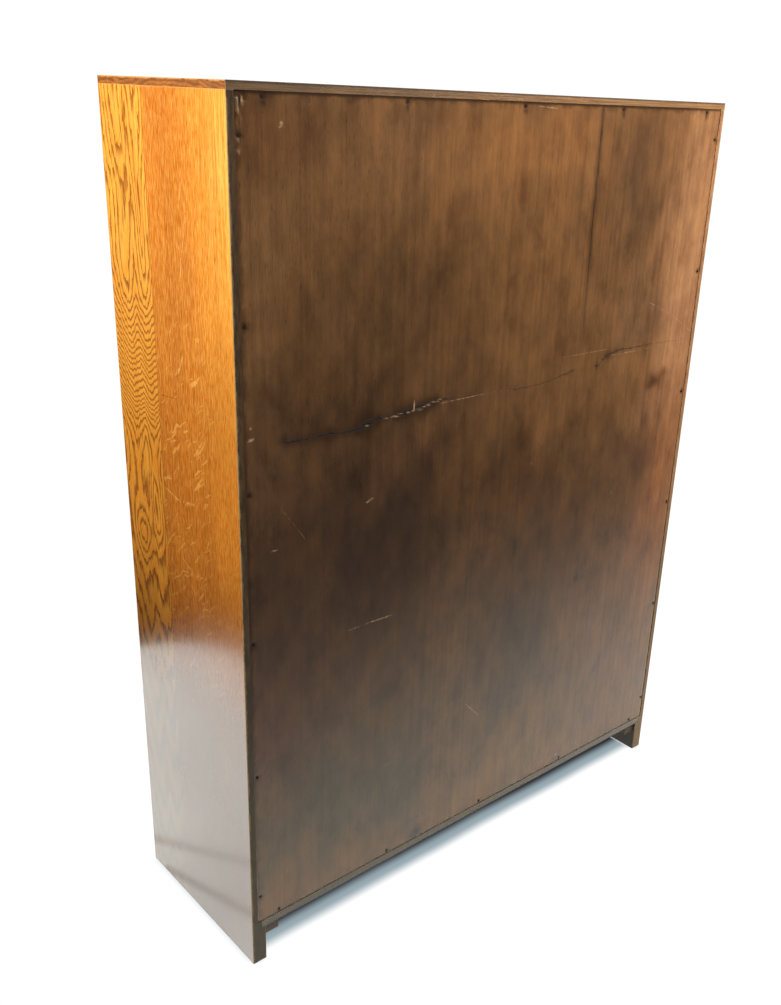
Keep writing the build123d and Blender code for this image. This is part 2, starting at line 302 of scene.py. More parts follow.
def laySheet(values):
    # A flat grid from corner to corner. Past the centre of its front right corner the square grid is drawn
    # in to a disc: each point keeps its direction, and its larger offset becomes its radius.
    across = np.linspace(values["sheetLow"][0], values["sheetHigh"][0], 90)
    along = np.linspace(values["sheetLow"][1], values["sheetHigh"][1], 70)
    x, y = np.meshgrid(across, along, indexing="ij")
    centreX = values["sheetHigh"][0] - values["sheetCorner"]
    centreY = values["sheetLow"][1] + values["sheetCorner"]
    outX, outY = np.clip(x - centreX, 0.0, None), np.clip(centreY - y, 0.0, None)
    inCorner = (outX > 0) & (outY > 0)
    drawn = np.where(inCorner, np.maximum(outX, outY) / np.maximum(np.hypot(outX, outY), 1e-9), 1.0)
    x, y = np.where(inCorner, centreX + outX * drawn, x), np.where(inCorner, centreY - outY * drawn, y)
    sheet = meshFromGrid("floor_sheet", np.stack((x, y, np.zeros_like(x)), axis=-1))
    material, tree, place = startMaterial("paper_sheet")
    path = outputs(addNode(tree, "LightPath"))
    cloudy = cloud(place, 2.0)
    tone = mixColour(ease(cloudy, 0.3, 0.7), shade(values["sheetTone"]), shade(values["sheetPale"]))
    paper = work("BsdfDiffuse", {"Color": tone})
    # Seen straight on it is washed out, but for a trace close to whatever stands on it
    # and the dark under the case.
    around = addNode(tree, "AmbientOcclusion", {"Distance": values["contactReach"]}, samples=12)
    openness = outputs(around)["AO"]
    spotX, spotY = splitXyz(place)[:2]
    trace = mixColour(ease(openness, 0.3, 0.75), shade(values["contactShade"]), values["washed"])
    fromRear = caseRear - spotY + (cloudy - 0.5) * 0.02
    under = mixColour(ease(fromRear, 0.032, 0.056), shade(values["underShade"]), shade(values["deepShade"]))
    beneath = ease(fromRear, 0.004, 0.032) * ease(spotY, -0.145, -0.125)
    beneath = beneath * ease(calc("ABSOLUTE", spotX), caseSide - 0.015, caseSide - 0.030)
    washed = mixColour(beneath, trace, under)
    seen = work("Emission", {"Color": washed})
    lit = work("MixShader", {0: path["Is Camera Ray"], 1: paper, 2: seen})
    # How bright the sheet is in a varnished face: it fades with distance, grows toward -x, and is dimmer in
    # front of the case.
    near = ease(spotY, 0.0, 0.2, 1.0, 1.15)
    far = near * ease(spotY, 0.22, 1.15, values["sheetMirrored"], 0.08)
    far = far * ease(spotX, -0.1, -0.9, 1.0, 1.3)
    # painted shade: darker bands in the sheet's reflection
    for start, end, width in values["creaseShade"]:
        gap = lineGap(place, start, end)[0]
        far = far * ease(gap, 0.0, width, 0.68, 1.0)
    # painted shadow: the sheet is dimmer in reflections close to the case's side
    far = far * ease(spotX, 0.44, 0.74, 0.72, 1.0)
    tilt = ease(spotX, 0.64, 0.5) * ease(spotY, -0.24, 0.04, 0.16, -0.02)
    far = far * (1.0 + tilt)
    front = ease(spotY, -0.14, -0.24) * ease(spotX, 0.49, 0.44)
    far = far * ease(front, 0.0, 1.0, 1.0, 0.3)
    bright = work("Emission", {"Color": values["mirrorTint"], "Strength": far})
    shown = work("MixShader", {0: path["Is Glossy Ray"], 1: lit, 2: bright})
    addNode(tree, "OutputMaterial", {"Surface": shown})
    sheet.data.materials.append(material)


def meshFromGrid(name, points):
    # points is an array (rows, columns, 3); neighbours in it share a face
    rows, columns = points.shape[:2]
    index = np.arange(rows * columns).reshape(rows, columns)
    quads = np.stack((index[:-1, :-1], index[1:, :-1], index[1:, 1:], index[:-1, 1:]), axis=-1)
    mesh = bpy.data.meshes.new(name)
    mesh.from_pydata(points.reshape(-1, 3), [], quads.reshape(-1, 4).tolist())
    thing = bpy.data.objects.new(name, mesh)
    scene.collection.objects.link(thing)
    return thing


def lightStudio(values):
    world = bpy.data.worlds.new("studio")
    scene.world = world
    world.use_nodes = True
    tree = world.node_tree
    tree.nodes.clear()
    path = outputs(addNode(tree, "LightPath"))
    rise = splitXyz(outputs(addNode(tree, "TexCoord"))["Generated"])[2]
    overhead = ease(rise, 0.05, 0.6, values["surroundMirrored"], values["ceilingMirrored"])
    paint = {"Color": shade(values["surroundTone"]), "Strength": values["surround"]}
    soft = outputs(addNode(tree, "Background", paint))["Background"]
    mirrored = work("Background", {"Color": shade(values["mirroredTone"]), "Strength": overhead})
    paint = {"Color": (1, 1, 1, 1), "Strength": values["backdrop"]}
    white = outputs(addNode(tree, "Background", paint))["Background"]
    unseen = work("MixShader", {0: path["Is Glossy Ray"], 1: soft, 2: mirrored})
    shown = work("MixShader", {0: path["Is Camera Ray"], 1: unseen, 2: white})
    addNode(tree, "OutputWorld", {"Surface": shown})
    for name, place, aim, size, watts, tone in values["lamps"]:
        lamp = bpy.data.lights.new(name, "AREA")
        lamp.shape = "DISK"
        lamp.size = size
        lamp.energy = watts
        lamp.color = shade(tone)[:3]
        holder = bpy.data.objects.new(name, lamp)
        holder.location = place
        holder.rotation_euler = (Vector(aim) - Vector(place)).to_track_quat("-Z", "Y").to_euler()
        holder.visible_camera = False
        scene.collection.objects.link(holder)


laySheet(studio)
lightStudio(studio)
print("studio lit")


# Shared effects, each a node group.

def makeEdgeWear():
    # The second smallest distance to the six faces of a board's box is the distance to its nearest arris.
    # Wear runs in from the arris by Width, more where a cloud is thick.
    inputs = {"Vector": origin, "Low": origin, "High": (1.0, 1.0, 1.0), "Width": 0.003, "Ragged": 1.0}
    tree, given, made = startGroup("edge wear", inputs, ("Wear", "Grime"))
    here, low, high = (splitXyz(given[k]) for k in ("Vector", "Low", "High"))
    gaps = [calc("MINIMUM", here[k] - low[k], high[k] - here[k]) for k in range(3)]
    small, large = (calc(kind, gaps[0], gaps[1]) for kind in ("MINIMUM", "MAXIMUM"))
    arris = calc("MAXIMUM", small, calc("MINIMUM", large, gaps[2]))
    patchy = ease(cloud(given["Vector"], 38.0, 4.0, 0.65), 0.34, 0.68)
    reach = given["Width"] * (0.25 + patchy * given["Ragged"])
    worn = ease(arris / reach, 1.0, 0.25)
    wide = reach * 7.0
    fill(made, {"Wear": worn, "Grime": ease(arris / wide, 1.0, 0.0)})
    return tree


def makeOakGrain():
    # Vector is (across, into, along) the board. Rings are the distance from a wavering pith over
    # Ring Width; their fraction makes the porous band. Flecks are slanting, stretched clouds cut to
    # thin islands.
    inputs = {"Vector": origin, "Pith": (0.3, 0.0, 0.0), "Tilt": 0.0, "Ring Width": 0.004, "Waver": 0.01,
              "Fleck Slant": 0.7}
    tree, given, made = startGroup("oak grain", inputs, ("Rings", "Streaks", "Pores", "Flecks", "Ageing"))
    vector = given["Vector"]
    across, into, along = splitXyz(vector)
    pith = splitXyz(given["Pith"])
    slow = stretched(vector, (0.13, 0.13, 0.8), 3.0) - 0.5
    quick = stretched(vector, (0.006, 0.02, 0.045), 3.0) - 0.5
    sway = slow * given["Waver"]
    side = across - pith[0] + sway
    depth = into - pith[1] + (along * given["Tilt"] + sway * 1.7)
    radius = calc("SQRT", side * side + depth * depth)
    rings = radius / given["Ring Width"] + quick * 0.55
    part = calc("FRACT", rings)
    band = ease(part, 0.0, 0.16) * ease(part, 0.82, 0.3)
    streaks = ease(stretched(vector, (0.0026, 0.0026, 0.16), 4.0, 0.6), 0.3, 0.7)
    tubes = stretched(vector, (0.0007, 0.0007, 0.011), 2.0, 0.6)
    pores = ease(tubes, 0.56, 0.68) * (0.35 + band * 0.65)
    bend = stretched(vector, (0.03, 0.03, 0.04), 2.0) * 0.026
    rise = along + bend - across * given["Fleck Slant"]
    flakes = stretched(joinXyz(across, into, rise), (0.023, 0.03, 0.0054), 1.0, 0.4)
    where = ease(stretched(vector, (0.06, 0.07, 0.14), 2.0), 0.42, 0.6)
    flecks = ease(flakes, 0.63, 0.69) * where
    ageing = ease(stretched(vector, (0.05, 0.05, 0.22), 4.0, 0.6), 0.32, 0.68)
    fill(made, {"Rings": band, "Streaks": streaks, "Pores": pores, "Flecks": flecks, "Ageing": ageing})
    return tree


def makeHandling():
    # fine wiping scratches and smears that dull a varnished face
    tree, given, made = startGroup("handling marks", {"Vector": origin}, ("Dulling", "Fine"))
    smear = ease(cloud(given["Vector"], 9.0, 5.0, 0.62), 0.36, 0.72)
    wiped = cloud(sized(given["Vector"], (0.02, 0.0011, 0.02), (0.5, 0.0, 0.3)), 1.0, 2.0)
    dulling = smear * 0.7 + ease(wiped, 0.6, 0.75) * 0.3
    fill(made, {"Dulling": dulling, "Fine": cloud(given["Vector"], 420.0, 3.0, 0.6)})
    return tree


def makeScratch():
    # how near a point is to the straight line between Start and End, broken up by a cloud
    inputs = {"Vector": origin, "Start": origin, "End": (0.0, 0.0, 1.0), "Width": 0.0008}
    tree, given, made = startGroup("scratch", inputs, ("Mark",))
    ragged = cloud(given["Vector"], 420.0, 2.0) * 1.3
    gap, share = lineGap(given["Vector"], given["Start"], given["End"])
    broken = ease(cloud(given["Vector"], 150.0, 3.0, 0.6), 0.36, 0.56)
    line = ease(gap * (0.35 + ragged) / given["Width"], 1.0, 0.35)
    fade = ease(share * (1.0 - share), -0.02, 0.09)
    fill(made, {"Mark": line * (fade * broken)})
    return tree


edgeWear = makeEdgeWear()
scratchMark = makeScratch()
oakGrain = makeOakGrain()
handlingMarks = makeHandling()
print("shared effects made")

# How each kind of oak board lies and looks. order gives the axes across, into and along the grain.
oakBoards = {
    "side": {"order": "yxz", "pith": (0.42, 0.1), "tilt": 0.0, "ringWidth": 0.0034, "waver": 0.02,
             "ground": "c8731f", "dark": "7d3d0c", "pale": "f0b25a", "flecks": 0.85},
    "top": {"order": "yzx", "pith": (0.02, -0.06), "tilt": 0.03, "ringWidth": 0.0052, "waver": 0.03,
            "ground": "a3622c", "dark": "5e3212", "pale": "cf9248", "flecks": 0.25},
    "shelf": {"order": "yzx", "pith": (0.05, -0.05), "tilt": 0.035, "ringWidth": 0.0052, "waver": 0.035,
              "ground": "b06a2b", "dark": "6b3a14", "pale": "d79a52", "flecks": 0.3},
    "rail": {"order": "zyx", "pith": (1.5, 0.3), "tilt": 0.0, "ringWidth": 0.0032, "waver": 0.02,
             "ground": "b5691f", "dark": "74390e", "pale": "e6a550", "flecks": 0.9},
    "stile": {"order": "xyz", "pith": (0.8, 0.3), "tilt": 0.0, "ringWidth": 0.0032, "waver": 0.02,
              "ground": "b5691f", "dark": "74390e", "pale": "e6a550", "flecks": 0.9},
    "bead": {"order": "zyx", "pith": (0.9, 0.3), "tilt": 0.0, "ringWidth": 0.0035, "waver": 0.01,
             "ground": "a05c1c", "dark": "66330e", "pale": "cf9148", "flecks": 0.4},
    "block": {"order": "zyx", "pith": (0.2, 0.05), "tilt": 0.05, "ringWidth": 0.007, "waver": 0.04,
              "ground": "61503b", "dark": "413221", "pale": "7f6a4e", "flecks": 0.0},
}
oakAge = {
    "pores": "3a1c08",
    "grime": "3b2210",
    "worn": "c79a5e",
    "rearDull": "5b5444",            # on an unvarnished rear edge
    "rearDark": "3f3527",            # along its dark side
}
# bare wood that never had varnish
unvarnished = {"wearWidth": 0.0012, "gloss": 0.6, "coat": 0.0}


def boardVector(place, recipe, offset):
    # puts the board's own directions in the order across, into, along, and moves it within the log
    axes = splitXyz(place)
    turned = joinXyz(*(axes["xyz".index(letter)] for letter in recipe["order"]))
    return work("VectorMath", {0: turned, 1: (0.0, offset * 0.31, offset)}, operation="ADD")


def varnishedOak(name, nodeName, kind, offset, wearWidth=0.0028, gloss=0.22, coat=0.55, rearTones=None,
                 rearDark=(0.0, 1.0)):
    recipe = oakBoards[kind]
    material, tree, place = startMaterial(name)
    low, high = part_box(nodeName)
    vector = boardVector(place, recipe, offset)
    grain = placeGroup(oakGrain, Vector=vector, Pith=recipe["pith"] + (0.0,), Tilt=recipe["tilt"],
                       Ring_Width=recipe["ringWidth"], Waver=recipe["waver"])
    wear = placeGroup(edgeWear, Vector=place, Low=tuple(low), High=tuple(high), Width=wearWidth, Ragged=1.0)
    marks = placeGroup(handlingMarks, Vector=place)
    ground = mixColour(grain["Streaks"] * 0.5, shade(recipe["ground"]), shade(recipe["pale"]))
    ground = layOver(ground, recipe["dark"], grain["Ageing"], 0.35)
    ringed = layOver(ground, recipe["dark"], grain["Rings"], 0.55)
    flecked = layOver(ringed, recipe["pale"], grain["Flecks"], recipe["flecks"])
    pored = layOver(flecked, oakAge["pores"], grain["Pores"], 0.6)
    grimed = layOver(pored, oakAge["grime"], wear["Grime"], 0.28)
    worn = layOver(grimed, oakAge["worn"], wear["Wear"], 0.62)
    varnish = calc("SUBTRACT", coat, wear["Wear"] * 0.5, clamp=True)
    if rearTones:
        # the rear edge has no varnish: dark with handling, paler in the middle of the edge and to one end
        axes = splitXyz(place)
        rear = ease(axes[1], float(high[1]) - 0.0016, float(high[1]) - 0.0006)
        lines = stretched(place, (0.09, 0.05, 0.0012), 4.0, 0.65)
        tan = mixColour(ease(lines, 0.36, 0.62), shade(rearTones[0]), shade(rearTones[1]))
        toEnd = ease(axes[0], 0.35, -0.1, 0.0, 0.75)
        drift = calc("ADD", toEnd, ease(cloud(place, 14.0, 4.0), 0.4, 0.7, 0.0, 0.35), clamp=True)
        tan = mixColour(drift, layOver(tan, oakAge["rearDull"], 0.55), tan)
        tan = layOver(tan, oakAge["rearDark"], ease(axes[2], *rearDark, 0.0, 0.75))
        worn = mixColour(rear, worn, tan)
        varnish = varnish * (1.0 - rear)
    rough = calc("ADD", gloss, marks["Dulling"] * 0.16 + wear["Wear"] * 0.3, clamp=True)
    relief = marks["Fine"] * 0.25 - grain["Pores"]
    finishMaterial(tree, relief, 0.0002, 0.6, Base_Color=worn, Roughness=rough, Coat_Roughness=0.1,
                   Coat_Weight=varnish)
    giveFinish(nodeName, material)


# The sides: a flat-sawn board with a two-hearted figure at the front, glued to a quarter-sawn one.
sidePanel = {
    "thickness": 0.0222,
    "seam": -0.0345,                 # y of the glued joint
    "hearts": (0.0437, 0.0906),      # in from the front edge
    "heartWidth": 0.009,
    "heartRings": (0.42, 1.0),       # rings an arm adds, low and high on the board
    # rings passed on the way down the board: height over the full height, rings over ringTotal
    "ringTotal": 34.0,
    "descent": ((0.0, 1.0), (0.13, 0.93), (0.34, 0.84), (0.45, 0.775), (0.52, 0.745), (0.595, 0.735),
                (0.68, 0.48), (0.765, 0.155), (0.795, 0.09), (0.88, 0.05), (0.95, 0.02), (1.0, 0.0)),
    # closed eyes in the figure: in from the front edge, height, half width, half height, rings
    "eyes": ((0.0437, 0.612, 0.024, 0.034, -2.3), (0.0880, 0.668, 0.014, 0.060, -2.6),
             (0.0925, 1.055, 0.008, 0.070, -1.7), (0.030, 1.085, 0.026, 0.045, 1.1)),
    # flecks and checks that stand out: two ends as (y, z), half width, strength, colour
    "longFlecks": (
        ((-0.030, 0.703), (0.005, 0.695), 0.0020, 0.78, "f8c873"),
        ((0.005, 0.695), (0.050, 0.702), 0.0020, 0.78, "f8c873"),
        ((-0.034, 0.716), (-0.010, 0.722), 0.0018, 0.68, "f8c873"),
        ((-0.026, 0.834), (0.018, 0.838), 0.0009, 0.7, "6b370c"),
        ((0.036, 0.985), (0.062, 1.085), 0.0011, 0.6, "ffce80"),
        ((0.046, 1.085), (0.055, 1.125), 0.0010, 0.5, "ffce80"),
        ((0.022, 0.872), (0.036, 0.898), 0.0018, 0.68, "f8c873"),
        ((0.052, 0.770), (0.076, 0.796), 0.0019, 0.68, "f8c873"),
        ((0.060, 0.730), (0.078, 0.742), 0.0019, 0.68, "f8c873"),
        ((0.070, 0.640), (0.085, 0.668), 0.0019, 0.68, "f8c873"),
        ((0.006, 0.612), (0.030, 0.600), 0.0019, 0.68, "f8c873"),
        ((0.028, 0.578), (0.040, 0.566), 0.0018, 0.58, "f8c873"),
        ((-0.030, 0.600), (-0.012, 0.590), 0.0017, 0.58, "f8c873"),
        ((0.036, 0.528), (0.062, 0.545), 0.0018, 0.58, "f8c873"),
    ),
    "flatGround": "f5a83e",
    "flatPale": "ffc45c",
    "flatDark": "8f4d14",
    "quarterGround": "de8926",
    "quarterDark": "b2631c",
    "quarterPale": "fcc56c",
    # painted highlight toward the rear and the top of the quarter-sawn board
    "paintedRearHighlight": "fbab3c",
    # painted shade: foot and middle darken the face down from near the top
    "foot": "77705f",
    "middle": "ebe2c6",
    "rearEdge": (("412f19", "6b4f2c"), ("a97448", "d3a172")),   # the right side's, the left side's
    "rearFoot": ("46463a", "93886a"),
    # painted highlight between the dark streaks near the top rear
    "paintedTopHighlight": "ffd873",
    "glueLine": "5a2c0a",
    "ageing": "8c4a14",
    "pores": "3f2008",
    "worn": "b98a54",
    "edgePores": "2b1c10",
    "edgeWorn": "b9a074",
    "paintedUnderShade": "2a201b",           # painted shade on the inner face below the bottom board
    "gloss": 0.2,
}


def makeTwoHearts(values, frontY):
    # Two hyperbolas about the hearts, joined by their softer minimum, say how far in the rings curve.
    # A curve down the board and a few Gaussian eyes add to it, and the fraction of the sum makes the lines.
    tree, given, made = startGroup("two hearts", {"Vector": origin}, ("Lines", "Ground"))
    y, z = splitXyz(given["Vector"])[1:]
    inward = y - frontY
    wander = stretched(given["Vector"], (0.3, 0.035, 0.11), 2.0) - 0.5
    saw = stretched(given["Vector"], (0.1, 0.0052, 0.038), 2.5, 0.6) - 0.5
    swayed = inward + wander * 0.022
    arms = []
    for heart in values["hearts"]:
        offset = (swayed - heart) / values["heartWidth"]
        arms.append(calc("SQRT", 1.0 + offset * offset))
    total = calc("SMOOTH_MIN", arms[0], arms[1], 0.5) * ease(z, 0.66, 0.8, *values["heartRings"])
    descent = addNode(tree, "FloatCurve", {"Value": z / caseTop})
    curve = descent.mapping.curves[0]
    curve.points[0].location, curve.points[1].location = values["descent"][0], values["descent"][-1]
    for point in values["descent"][1:-1]:
        curve.points.new(*point)
    descent.mapping.update()
    total = total + Wire(descent.outputs[0]) * values["ringTotal"]
    for inFromFront, height, halfWidth, halfHeight, rings in values["eyes"]:
        a = (swayed - inFromFront) / halfWidth
        b = (z - height) / halfHeight
        square = a * a + b * b
        bump = calc("EXPONENT", square * -1.0)
        total = total + bump * rings
    total = total + (saw * 1.3 + wander * 0.9)
    part = calc("FRACT", total)
    lines = ease(part, 0.0, 0.09) * ease(part, 0.62, 0.14)
    fill(made, {"Lines": lines, "Ground": ease(part, 0.3, 1.0)})
    return tree


def sideOak(nodeName, values, figure):
    material, tree, place = startMaterial("oak_" + nodeName)
    low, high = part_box(nodeName)
    x, y, z = splitXyz(place)
    recipe = oakBoards["side"]
    vector = boardVector(place, recipe, 0.0)
    grain = placeGroup(oakGrain, Vector=vector, Pith=recipe["pith"] + (0.0,), Tilt=0.0,
                       Ring_Width=recipe["ringWidth"], Waver=recipe["waver"], Fleck_Slant=0.8)
    hearts = placeGroup(figure, Vector=place)
    wear = placeGroup(edgeWear, Vector=place, Low=tuple(low), High=tuple(high), Width=0.003, Ragged=1.0)
    marks = placeGroup(handlingMarks, Vector=place)
    # flat-sawn board
    flat = mixColour(hearts["Ground"], shade(values["flatPale"]), shade(values["flatGround"]))
    flat = layOver(flat, values["quarterGround"], grain["Streaks"], 0.3)
    flat = layOver(flat, values["flatDark"], hearts["Lines"], 0.88)
    # quarter-sawn board
    quarter = mixColour(grain["Streaks"], shade(values["quarterGround"]), shade(values["quarterDark"]))
    quarter = layOver(quarter, values["quarterDark"], grain["Rings"], 0.22)
    # painted highlight: the quarter-sawn board is brighter toward its rear edge and up the board
    rearHighlight = ease(y, 0.04, 0.15) * ease(z, 0.35, 1.1, 0.3, 0.9)
    quarter = layOver(quarter, values["paintedRearHighlight"], rearHighlight, 0.75)
    combed = stretched(vector, (0.0011, 0.004, 0.016), 3.0, 0.6)
    quarter = layOver(quarter, values["quarterPale"], ease(combed, 0.42, 0.68, 0.0, 0.55))
    quarter = layOver(quarter, values["quarterDark"], ease(combed, 0.52, 0.3, 0.0, 0.55))
    drawn = stretched(vector, (0.0034, 0.01, 0.12), 4.0, 0.65)
    quarter = layOver(quarter, values["quarterDark"], ease(drawn, 0.56, 0.72, 0.0, 0.5))
    # painted highlight between the dark streaks near the top rear of the board
    topHighlight = ease(y, 0.08, 0.15) * ease(z, 0.9, 1.15)
    topHighlight = topHighlight * ease(drawn, 0.55, 0.4)
    quarter = layOver(quarter, values["paintedTopHighlight"], topHighlight, 0.6)
    flecked = ease(z, 0.98, 0.86, 0.15, 1.0) * ease(y, 0.13, 0.08, 0.25, 0.62)
    quarter = layOver(quarter, values["quarterPale"], grain["Flecks"], flecked)
    for start, end, width, strength, tint in values["longFlecks"]:
        mark = placeGroup(scratchMark, Vector=place, Start=(float(high[0]),) + start,
                          End=(float(high[0]),) + end, Width=width)["Mark"]
        quarter = layOver(quarter, tint, mark, strength)
    onQuarter = ease(y, values["seam"] - 0.0003, values["seam"] + 0.0003)
    colour = mixColour(onQuarter, flat, quarter)
    seam = ease(calc("ABSOLUTE", y - values["seam"]), 0.0011, 0.0002)
    colour = layOver(colour, values["glueLine"], seam, 0.45)
    colour = layOver(colour, values["ageing"], grain["Ageing"], 0.22)
    colour = layOver(colour, values["pores"], grain["Pores"], 0.55)
    # painted shade: darker from near the top down the board, and darker still below about 0.68 m
    colour = mixColour(ease(z, 0.98, 0.7), colour, shade(values["middle"]), "MULTIPLY")
    shadeLowDown = ease(z, 0.68, 0.35)
    colour = mixColour(shadeLowDown * 0.86, colour, shade(values["foot"]), "MULTIPLY")
    plain = mixColour(grain["Streaks"] * 0.6, shade(oakBoards["stile"]["ground"]),
                      shade(oakBoards["stile"]["dark"]))
    colour = mixColour(ease(y, float(low[1]) + 0.0012, float(low[1]) + 0.0004), colour, plain)
    innerFace = caseSide - values["thickness"]
    within = ease(calc("ABSOLUTE", x), innerFace + 0.0014, innerFace + 0.0006)
    colour = mixColour(within * 0.6, colour, plain)
    # painted shade: the inner face below the bottom board is dark
    shadeBelowBoard = within * ease(z, 0.062, 0.058)
    colour = layOver(colour, values["paintedUnderShade"], shadeBelowBoard)
    colour = layOver(colour, values["worn"], wear["Wear"], 0.55)
    # the unvarnished rear edge is grey with handling
    rear = ease(y, float(high[1]) - 0.0016, float(high[1]) - 0.0006)
    dirt = ease(stretched(place, (0.006, 0.05, 0.03), 5.0, 0.7), 0.35, 0.65)
    edge = mixColour(dirt, *(shade(code) for code in values["rearEdge"][nodeName == "side_panel_left"]))
    edge = layOver(edge, values["edgePores"], grain["Pores"], 0.7)
    edge = layOver(edge, values["rearFoot"][nodeName == "side_panel_left"], ease(z, 0.75, 0.3, 0.0, 0.6))
    edge = layOver(edge, values["edgeWorn"], wear["Wear"], 0.7)
    colour = mixColour(rear, colour, edge)
    rough = values["gloss"] + (marks["Dulling"] * 0.12 + wear["Wear"] * 0.25)
    bareFace = calc("MAXIMUM", rear, shadeBelowBoard)
    rough = calc("ADD", rough, bareFace * 0.45, clamp=True)
    relief = marks["Fine"] * 0.12 - grain["Pores"]
    gloss = calc("MULTIPLY", 1.0 - bareFace, 1.0 - wear["Wear"] * 0.6, clamp=True)
    finishMaterial(tree, relief, 0.0002, 0.35, Base_Color=colour, Roughness=rough, Coat_Weight=gloss,
                   Coat_Roughness=0.12)
    giveFinish(nodeName, material)


twoHearts = makeTwoHearts(sidePanel, float(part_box("side_panel_right")[0][1]))
for nodeName in ("side_panel_left", "side_panel_right"):
    sideOak(nodeName, sidePanel, twoHearts)
print("sides finished")


# Every other oak board, with its own place in the log.
doorWood = {"stile_left": "stile", "stile_right": "stile", "top_rail": "rail", "bottom_rail": "rail",
            "glazing_beads": "bead"}


def finishOak():
    foot = float(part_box("bottom_board")[0][2])
    varnishedOak("oak_top_board", "top_board", "top", 0.4, gloss=0.36, coat=0.14,
                 rearTones=("96704a", "cb9b68"), rearDark=(caseTop - 0.0032, caseTop - 0.0012))
    varnishedOak("oak_bottom_board", "bottom_board", "shelf", 0.9,
                 rearTones=("4d4029", "866d48"), rearDark=(foot + 0.0030, foot + 0.0008))
    varnishedOak("oak_toe_rail", "toe_rail", "rail", 1.3)
    varnishedOak("oak_toe_blocks", "toe_rail_blocks", "block", 1.7, **unvarnished)
    for turn, side in enumerate(("left", "right")):
        varnishedOak("oak_cleat_" + side, "cleat_" + side, "block", 2.1 + turn, **unvarnished)
    for level in range(1, 4):
        varnishedOak(f"oak_shelf_{level}", f"shelf_{level}", "shelf", 3.0 + 0.7 * level)
    for level in range(1, 5):
        varnishedOak(f"oak_head_strip_{level}", f"head_strip_{level}", "rail", 6.0 + 0.9 * level)
        for turn, (part, kind) in enumerate(doorWood.items()):
            varnishedOak(f"oak_door_{level}_{part}", f"door_{level}_{part}", kind,
                         11.0 + 1.3 * level + 0.37 * turn)


finishOak()
print("boards finished")


# Metal and glass.
def agedMetal(name, bright, tarnish, base, spread, metallic=1.0):
    # bare metal with tarnish that gathers in clouds and specks
    material, tree, place = startMaterial(name)
    clouds = ease(cloud(place, 60.0, 5.0, 0.65), 0.5 - spread, 0.62)
    specks = ease(cloud(place, 900.0, 3.0, 0.6), 0.55, 0.7)
    dull = calc("MAXIMUM", clouds, specks * 0.6)
    colour = mixColour(dull, shade(bright), shade(tarnish))
    rough = base + dull * 0.35
    shine = (1.0 - dull * 0.35) * metallic
    finishMaterial(tree, specks + clouds, 0.00008, 0.5, Base_Color=colour, Roughness=rough, Metallic=shine)
    return material


def doorGlass():
    # clear pane with a thin film of dust in clouds
    material, tree, place = startMaterial("pane_glass")
    film = ease(cloud(place, 14.0, 5.0, 0.6), 0.4, 0.75)
    rough = film * 0.05
    colour = mixColour(film, shade("f7fbf8"), shade("e6ebe4"))
    ripple = stretched(place, (0.25, 0.25, 0.09), 1.0)
    shader = finishMaterial(tree, ripple, 0.0004, 0.25, Base_Color=colour, Roughness=rough,
                            Transmission_Weight=1.0, IOR=1.5)
    clear = outputs(addNode(tree, "BsdfTransparent", {"Color": shade("f2f7f3")}))["BSDF"]
    path = outputs(addNode(tree, "LightPath"))
    pane = work("MixShader", {0: path["Is Shadow Ray"], 1: Wire(shader.outputs[0]), 2: clear})
    output = [node for node in tree.nodes if node.type == "OUTPUT_MATERIAL"][0]
    fill(output.inputs, {"Surface": pane})
    return material


brass = agedMetal("aged_brass", "c89a4a", "5f4520", 0.24, 0.1)
pinSteel = agedMetal("pin_steel", "a3a4a3", "4c463f", 0.3, 0.08)
screwSteel = agedMetal("screw_steel", "7e7a74", "463a2f", 0.4, 0.12)
nailSteel = agedMetal("wire_nail_steel", "4a3a2c", "1f140d", 0.5, 0.2, 0.6)
glass = doorGlass()
giveFinish("back_panel_nails", nailSteel)
giveFinish("cleat_screws", screwSteel)
giveFinish("door_support_pins", pinSteel)
for level in range(1, 5):
    giveFinish(f"door_{level}_glass", glass)
    giveFinish(f"door_{level}_knobs", brass)
    giveFinish(f"door_{level}_knob_screws", screwSteel)
    giveFinish(f"door_{level}_pivot_pins", pinSteel)
print("glass and metal finished")
